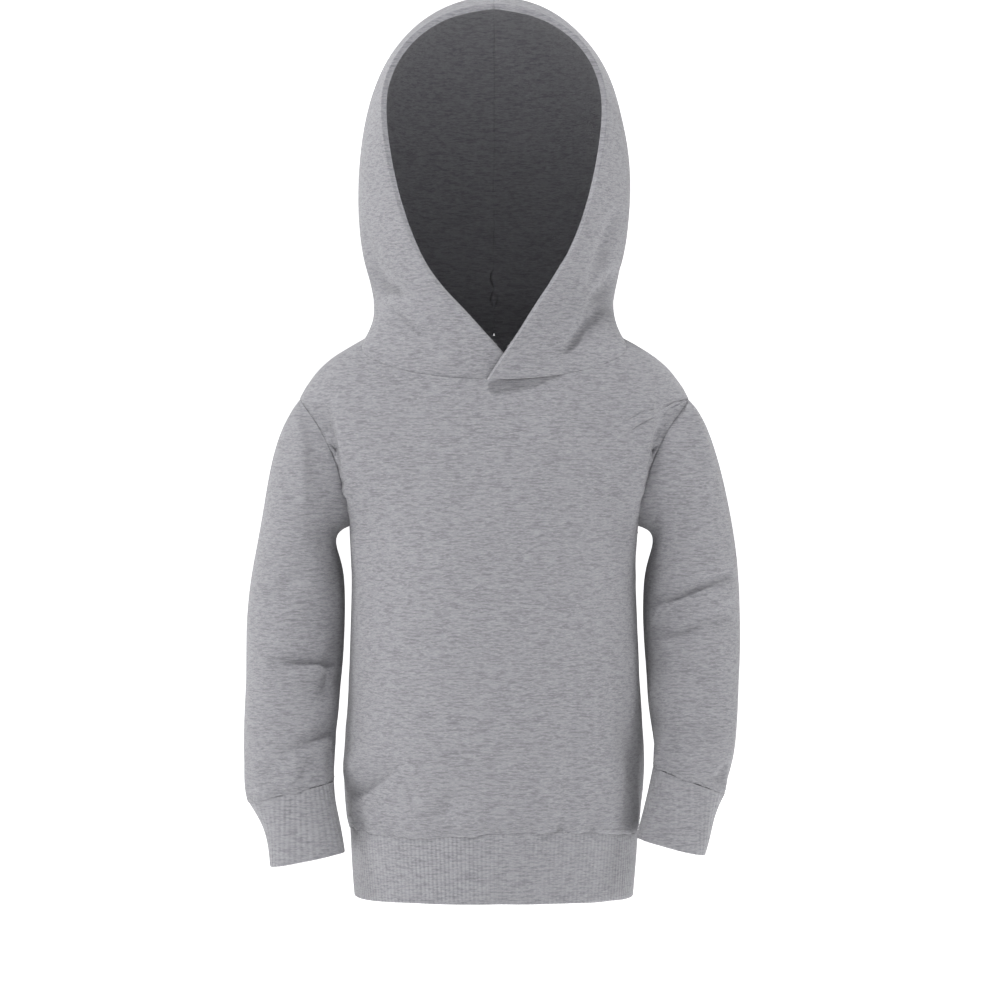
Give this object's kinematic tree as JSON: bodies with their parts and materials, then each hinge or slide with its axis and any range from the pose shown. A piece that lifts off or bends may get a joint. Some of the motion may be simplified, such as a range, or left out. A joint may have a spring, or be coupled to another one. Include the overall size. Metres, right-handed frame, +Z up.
{
  "type": "hooded sweatshirt",
  "caption": "Small child's pullover hooded sweatshirt, hood up and arms down, worn form left hollow, with a lapped hood front, rib waistband and rib cuffs.",
  "frame": {"origin": "midway between the points where the neck seam crosses the tops of the shoulders", "axes": "+Z up, -Y the way the wearer faces, +X towards the wearer's left"},
  "size_m": [0.3378, 0.1992, 0.6117],
  "materials": {
    "fleece": "matte brushed heather fleece",
    "rib": "matte heather rib knit"
  },
  "bodies": {
    "root": {"front_panel": "fleece", "back_panel": "fleece", "sleeve_right": "fleece", "sleeve_left": "fleece", "cuff_right": "rib", "cuff_left": "rib", "waistband": "rib", "hood_right": "fleece", "hood_left": "fleece"}
  },
  "joints": []
}
